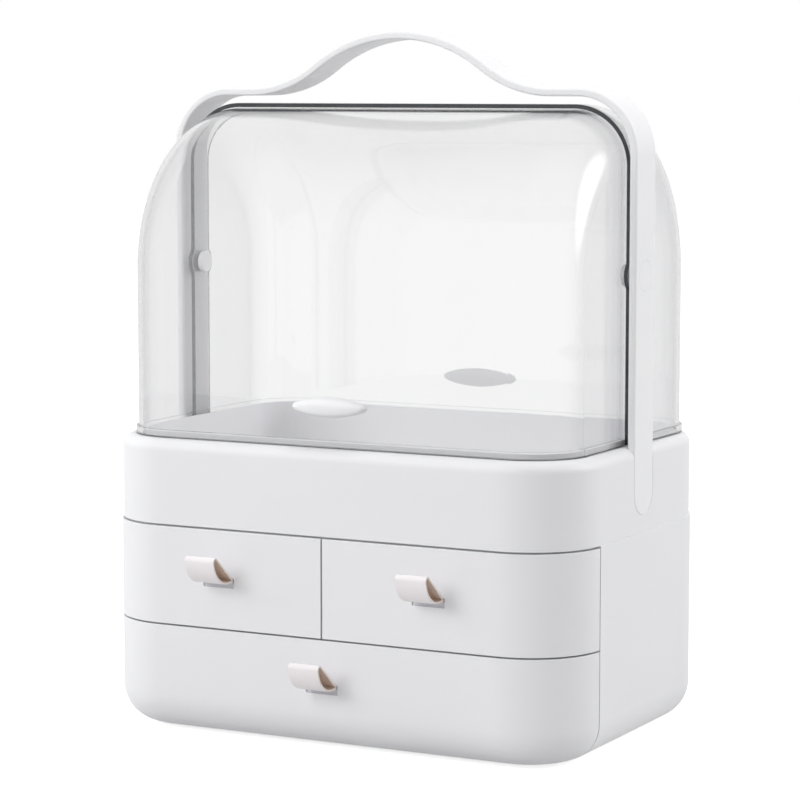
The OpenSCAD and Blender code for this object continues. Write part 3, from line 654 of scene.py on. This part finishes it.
fronts["lower"] = front_faces(us, vs, 0, LOWER, True)
for name, faces in fronts.items():
    front = closed_piece(f"{name}_front_panel", faces, [satin_abs, pocket_abs_painted_shade], bevel=0.35)
    stands_for(front, f"{name}_drawer", "white_abs", f"{name}_drawer_front")

# %% [markdown]
# ## The strap pulls
# Each pull is one strap folded double. It leaves the slot, rises at 40 degrees with its upper
# run straight, turns back at a tight nose, and its lower run bulges, so that the side view is
# a leaf. Both ends go in through the slot and turn down behind the wall, where a clip holds
# them. The side view is drawn as one outline with a leaf-shaped hole, and pushed out sideways.


# %% The folded strap
HALF_STRAP = 8.75       # half the strap's width
RISE = math.radians(40)


def strap_outlines():
    """The strap's side view about its mouth, as (y, z): the outline and the hole in it."""
    nose, bulge, nose_r, bulge_r = (20.63, -2.37), (12.22, 7.05), 2.37, 15.0
    last = math.atan2(nose[1] - bulge[1], nose[0] - bulge[0])

    def turned(u, v):
        c, s = math.cos(RISE), math.sin(RISE)
        return (-(u * c - v * s), 1 + u * s + v * c)

    def run(inset, end):
        bend = [(nose[0] + (nose_r - inset) * math.cos(a), nose[1] + (nose_r - inset) * math.sin(a))
                for a in steps(math.pi / 2, last, 14)]
        belly = [(bulge[0] + (bulge_r - inset) * math.cos(a),
                  bulge[1] + (bulge_r - inset) * math.sin(a)) for a in steps(last, end, 24)[1:]]
        return [turned(*p) for p in bend + belly]

    outer_end = -math.pi + math.acos(bulge[0] / bulge_r)
    inner_end = -math.pi + math.asin((bulge[1] + 1) / (bulge_r - 1))
    # the two ends run in through the slot and down behind the wall
    tail = [(-1, -1), (5.4, -1), (5.4, -11), (7.4, -11), (7.4, 1)]
    return [(0, 1)] + run(0, outer_end) + tail, run(1, inner_end)


def strap_faces(pull_x, pull_z):
    outline, leaf = strap_outlines()
    left, right = pull_x - HALF_STRAP, pull_x + HALF_STRAP
    FACE, BACK, EDGE = 0, 1, 2

    def placed(x, point):
        return (x, point[0] + FRONT_Y, point[1] + pull_z)

    faces = []
    for ring, finish in ((outline, FACE), (leaf, BACK)):
        for a, b in zip(ring, ring[1:] + ring[:1]):
            faces.append(([placed(left, a), placed(right, a), placed(right, b), placed(left, b)],
                          finish))
    for x in (left, right):
        for three in cut_flat(outline, leaf):
            faces.append(([placed(x, point) for point in three], EDGE))
    return faces


pulls = (("left", -PULL_X, UPPER), ("right", PULL_X, UPPER), ("lower", 0, LOWER))
for name, x, z in pulls:
    strap = closed_piece(f"{name}_strap", strap_faces(x, z),
                         [leather_face, leather_back, leather_edge], bevel=0.2, sharp=50)
    stands_for(strap, f"{name}_drawer", "strap_pu_leather", f"{name}_pull")

# %% [markdown]
# ## The carrying arch
# The arch is one strip, 25 mm wide and 4.2 mm thick, that follows a path: a crown, two valleys,
# two shoulders and two legs with round ends. A shape like that is a rule, so Geometry Nodes
# make it. A rounded rectangle runs along the path, the last part of each leg is narrowed to a
# half circle, and the pin holes and the seats of the discs are cut out. The path is worked
# out here, 2.1 mm inside the strip's outer face.


# %% The path of the arch
def arch_path():
    """Points (x, z) from foot to foot. Each bend has a radius and a centre."""
    crown_r, crown_z = 82.9, 288.3
    valley_r, valley_x, valley_z = 67.1, 90, 408.3
    shoulder_r, shoulder_x, shoulder_z = 31.9, 105.4, 309.3
    leg_x, foot_r, foot_z = 137.3, 12.5, 134.2
    slope = math.atan2(3, 4)        # where crown and valley meet
    half = [(crown_r * math.sin(a), crown_z + crown_r * math.cos(a)) for a in steps(0, slope, 24)]
    half += [(valley_x - valley_r * math.sin(a), valley_z - valley_r * math.cos(a))
             for a in steps(slope, 0, 20)[1:]]
    half += [(shoulder_x + shoulder_r * math.sin(a), shoulder_z + shoulder_r * math.cos(a))
             for a in steps(0, math.pi / 2, 28)]
    half += [(leg_x, z) for z in steps(shoulder_z, foot_z, 12)[1:]]
    half += [(leg_x, foot_z - foot_r * math.sin(a)) for a in steps(0, math.radians(86.5), 16)[1:]]
    return [(-x, z) for x, z in reversed(half[1:])] + half


path = arch_path()
print("path of", len(path), "points,", round(sum(math.dist(a, b) for a, b in zip(path, path[1:]))),
      "mm long")

# %% [markdown]
# A tree of Geometry Nodes gets its inputs by name. The values are set on the modifier by each
# socket's identifier before the object is first evaluated. The result is then kept as a plain
# mesh, because only a mesh can ride on a body and be exported.


# %% Running a tree on a few points
def new_tree(name, *sockets):
    tree = bpy.data.node_groups.new(name, "GeometryNodeTree")
    tree.interface.new_socket("Geometry", in_out="INPUT", socket_type="NodeSocketGeometry")
    for label, kind in sockets:
        tree.interface.new_socket(label, in_out="INPUT", socket_type="NodeSocket" + kind)
    tree.interface.new_socket("Geometry", in_out="OUTPUT", socket_type="NodeSocketGeometry")
    return tree, add(tree, "NodeGroupInput").outputs


def grown(name, tree, points, edges=(), ways=(), **values):
    """The plain mesh object that a tree makes from points in millimetres."""
    seed = bpy.data.meshes.new(name)
    seed.from_pydata([Vector(p) * MM for p in points], list(edges), [])
    if ways:
        facing = seed.attributes.new("way", "FLOAT_VECTOR", "POINT")
        for i, way in enumerate(ways):
            facing.data[i].vector = way
    piece = bpy.data.objects.new(name, seed)
    scene.collection.objects.link(piece)
    maker = piece.modifiers.new("maker", "NODES")
    maker.node_group = tree
    for socket in tree.interface.items_tree:
        if socket.in_out == "INPUT" and socket.name in values:
            maker[socket.identifier] = values[socket.name]
    graph = bpy.context.evaluated_depsgraph_get()
    made = bpy.data.meshes.new_from_object(piece.evaluated_get(graph), depsgraph=graph)
    piece.modifiers.clear()
    piece.data = made
    made.name = name
    piece.modifiers.new("flat faces stay flat", "WEIGHTED_NORMAL").keep_sharp = True
    low, high = [[f(v.co[i] for v in made.vertices) / MM for i in range(3)] for f in (min, max)]
    print(name, len(made.polygons), "faces, from", [round(v, 1) for v in low], "to",
          [round(v, 1) for v in high])
    return piece


# %% The strip along its path
tree, given = new_tree("strip_along_path", ("Width", "Float"), ("Thickness", "Float"),
                       ("Edge Radius", "Float"), ("Leg End", "Float"), ("Pivot Height", "Float"),
                       ("Pin Hole", "Float"), ("Disc Seat", "Float"), ("Seat Depth", "Float"),
                       ("Outer Face", "Float"), ("Finish", "Material"))
line = add(tree, "GeometryNodeMeshToCurve", {"Mesh": given["Geometry"]})
line = add(tree, "GeometryNodeSetCurveNormal", {"Curve": line.outputs[0]}, mode="FREE")
line.inputs["Normal"].default_value = (0, 1, 0)
flat = add(tree, "GeometryNodeCurvePrimitiveQuadrilateral", {"Width": given["Width"],
                                                             "Height": given["Thickness"]})
rounded = add(tree, "GeometryNodeFilletCurve", {"Curve": flat.outputs[0],
                                                "Radius": given["Edge Radius"]}, mode="POLY")
rounded.inputs["Count"].default_value = 5
strip = add(tree, "GeometryNodeCurveToMesh", {"Curve": line.outputs[0],
                                              "Profile Curve": rounded.outputs[0],
                                              "Fill Caps": True})
# near a leg's end the half width is that of a circle: y is scaled by sqrt(1 - t * t), where t
# is the way below the circle's centre over its radius
spot = add(tree, "ShaderNodeSeparateXYZ", {0: add(tree, "GeometryNodeInputPosition").outputs[0]})
radius = add(tree, "ShaderNodeMath", {0: given["Width"], 1: 0.5}, operation="MULTIPLY")
centre = add(tree, "ShaderNodeMath", {0: given["Leg End"], 1: radius.outputs[0]})
below = add(tree, "ShaderNodeMath", {0: centre.outputs[0], 1: spot.outputs["Z"]},
            operation="SUBTRACT")
share = add(tree, "ShaderNodeMath", {0: below.outputs[0], 1: radius.outputs[0]},
            operation="DIVIDE", use_clamp=True)
square = add(tree, "ShaderNodeMath", {0: share.outputs[0], 1: share.outputs[0]},
             operation="MULTIPLY")
rest = add(tree, "ShaderNodeMath", {0: 1.0, 1: square.outputs[0]}, operation="SUBTRACT")
scale = add(tree, "ShaderNodeMath", {0: rest.outputs[0]}, operation="SQRT")
narrow = add(tree, "ShaderNodeMath", {0: spot.outputs["Y"], 1: scale.outputs[0]},
             operation="MULTIPLY")
moved = add(tree, "ShaderNodeCombineXYZ", {0: spot.outputs["X"], 1: narrow.outputs[0],
                                           2: spot.outputs["Z"]})
ended = add(tree, "GeometryNodeSetPosition", {"Geometry": strip.outputs[0],
                                              "Position": moved.outputs[0]})
cutters = []
for side, wide, long in ((0, "Pin Hole", None), (1, "Disc Seat", "Seat Depth"),
                         (-1, "Disc Seat", "Seat Depth")):
    span = given[long] if long else 0.4
    twice = add(tree, "ShaderNodeMath", {0: span, 1: 2.0}, operation="MULTIPLY")
    rod = add(tree, "GeometryNodeMeshCylinder", {"Vertices": 72, "Radius": given[wide],
                                                 "Depth": twice.outputs[0]})
    out = add(tree, "ShaderNodeMath", {0: given["Outer Face"], 1: float(side)},
              operation="MULTIPLY")
    to = add(tree, "ShaderNodeCombineXYZ", {0: out.outputs[0], 2: given["Pivot Height"]})
    rod = add(tree, "GeometryNodeTransform", {"Geometry": rod.outputs[0],
                                              "Translation": to.outputs[0],
                                              "Rotation": (0, math.pi / 2, 0)})
    cutters.append(rod.outputs[0])
cut = add(tree, "GeometryNodeMeshBoolean", {"Mesh 1": ended.outputs[0], "Mesh 2": cutters},
          operation="DIFFERENCE", solver="EXACT")
solid = add(tree, "GeometryNodeRealizeInstances", {0: cut.outputs[0]})
dressed = add(tree, "GeometryNodeSetMaterial", {"Geometry": solid.outputs[0],
                                                "Material": given["Finish"]})
add(tree, "NodeGroupOutput", {0: dressed.outputs[0]})

arch = grown("carrying_arch", tree, [(x, 0, z) for x, z in path],
             [(i, i + 1) for i in range(len(path) - 1)],
             **{"Width": 25 * MM, "Thickness": 4.2 * MM, "Edge Radius": 1.2 * MM,
                "Leg End": 121.7 * MM, "Pivot Height": Z_PIVOT * MM, "Pin Hole": 3.05 * MM,
                "Disc Seat": 8.3 * MM, "Seat Depth": 1.2 * MM, "Outer Face": 139.4 * MM,
                "Finish": arch_abs})
arch.data.shade_smooth()
arch.data.set_sharp_from_angle(angle=math.radians(40))
stands_for(arch, "cabinet", "arch_abs", "handle_arch")

# %% [markdown]
# ## The screws
# Eleven pan-head screws hold the organizer together, all the same but for their length. One
# tree makes the head, a low dome with a cross recess, and the shank, and sets a copy at each
# point of a small mesh, turned along the direction stored there. Copies become real geometry
# at the end, because instances don't survive the export.

# %% A tree that sets screws
tree, given = new_tree("pan_head_screws", ("Head Radius", "Float"), ("Head Height", "Float"),
                       ("Shank Radius", "Float"), ("Shank Length", "Float"),
                       ("Finish", "Material"))
down = add(tree, "ShaderNodeMath", {0: given["Head Height"], 1: -0.5}, operation="MULTIPLY")
disc = add(tree, "GeometryNodeMeshCylinder", {"Vertices": 32, "Radius": given["Head Radius"],
                                              "Depth": given["Head Height"]})
disc = add(tree, "GeometryNodeTransform", {
    "Geometry": disc.outputs[0],
    "Translation": add(tree, "ShaderNodeCombineXYZ", {2: down.outputs[0]}).outputs[0]})
wide = add(tree, "ShaderNodeMath", {0: given["Head Radius"], 1: 1.25}, operation="MULTIPLY")
dome = add(tree, "GeometryNodeMeshUVSphere", {"Segments": 32, "Rings": 16, "Radius": 1.0})
dome = add(tree, "GeometryNodeTransform", {
    "Geometry": dome.outputs[0],
    "Scale": add(tree, "ShaderNodeCombineXYZ", {0: wide.outputs[0], 1: wide.outputs[0],
                                                2: given["Head Height"]}).outputs[0]})
head = add(tree, "GeometryNodeMeshBoolean", {"Mesh 2": [disc.outputs[0], dome.outputs[0]]},
           operation="INTERSECT", solver="EXACT")
top = add(tree, "ShaderNodeMath", {0: given["Head Height"], 1: -1.0}, operation="MULTIPLY")
lift = add(tree, "ShaderNodeCombineXYZ", {2: top.outputs[0]})
blade = add(tree, "ShaderNodeCombineXYZ", {0: given["Head Radius"], 1: 0.75 * MM, 2: 1.8 * MM})
bar = add(tree, "GeometryNodeMeshCube", {"Size": blade.outputs[0]})
bars = [add(tree, "GeometryNodeTransform", {"Geometry": bar.outputs[0],
                                            "Translation": lift.outputs[0],
                                            "Rotation": (0, 0, angle)}).outputs[0]
        for angle in (math.pi / 4, -math.pi / 4)]
head = add(tree, "GeometryNodeMeshBoolean", {"Mesh 1": head.outputs[0], "Mesh 2": bars},
           operation="DIFFERENCE", solver="EXACT")
shank = add(tree, "GeometryNodeMeshCylinder", {"Vertices": 24, "Radius": given["Shank Radius"],
                                               "Depth": given["Shank Length"]})
up = add(tree, "ShaderNodeMath", {0: given["Shank Length"], 1: 0.5}, operation="MULTIPLY")
shank = add(tree, "GeometryNodeTransform", {
    "Geometry": shank.outputs[0],
    "Translation": add(tree, "ShaderNodeCombineXYZ", {2: up.outputs[0]}).outputs[0]})
screw = add(tree, "GeometryNodeJoinGeometry", {0: [head.outputs[0], shank.outputs[0]]})
way = add(tree, "GeometryNodeInputNamedAttribute", {"Name": "way"}, data_type="FLOAT_VECTOR")
facing = add(tree, "FunctionNodeAlignRotationToVector", {"Vector": way.outputs[0]}, axis="Z")
copies = add(tree, "GeometryNodeInstanceOnPoints", {"Points": given["Geometry"],
                                                    "Instance": screw.outputs[0],
                                                    "Rotation": facing.outputs[0]})
solid = add(tree, "GeometryNodeRealizeInstances", {0: copies.outputs[0]})
dressed = add(tree, "GeometryNodeSetMaterial", {"Geometry": solid.outputs[0],
                                                "Material": given["Finish"]})
add(tree, "NodeGroupOutput", {0: dressed.outputs[0]})

# %% The screws in their places
sides = [(side, y) for side in (-1, 1) for y in (-1, 1)]
sets = {
    "tray_pan_head_screws": ("cabinet", "tray_screws", 8.0,
                             [(x * 132.2, y * 48, 110.3) for x, y in sides], [(0, 0, 1)] * 4),
    "arch_pan_head_screws": ("cabinet", "arch_screws", 12.1,
                             [(x * 125.6, y * 5.5, 133.2) for x, y in sides],
                             [(x, 0, 0) for x, _ in sides]),
}
for name, x, z in pulls:
    sets[f"{name}_clip_pan_head_screw"] = (f"{name}_drawer", f"{name}_clip_screw", 7.1,
                                           [(x, -86.6, z - 7)], [(0, -1, 0)])
for name, (body, node, length, places, ways) in sets.items():
    low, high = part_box(node)
    screws = grown(name, tree, places, ways=ways, **{
        "Head Radius": 3 * MM, "Head Height": 1.8 * MM, "Shank Radius": 1.5 * MM,
        "Shank Length": length * MM, "Finish": zinc})
    screws.data.shade_smooth()
    screws.data.set_sharp_from_angle(angle=math.radians(35))
    stands_for(screws, body, "screw_steel", node)
    print("   CAD box from", [round(v / MM, 1) for v in low], "to",
          [round(v / MM, 1) for v in high])
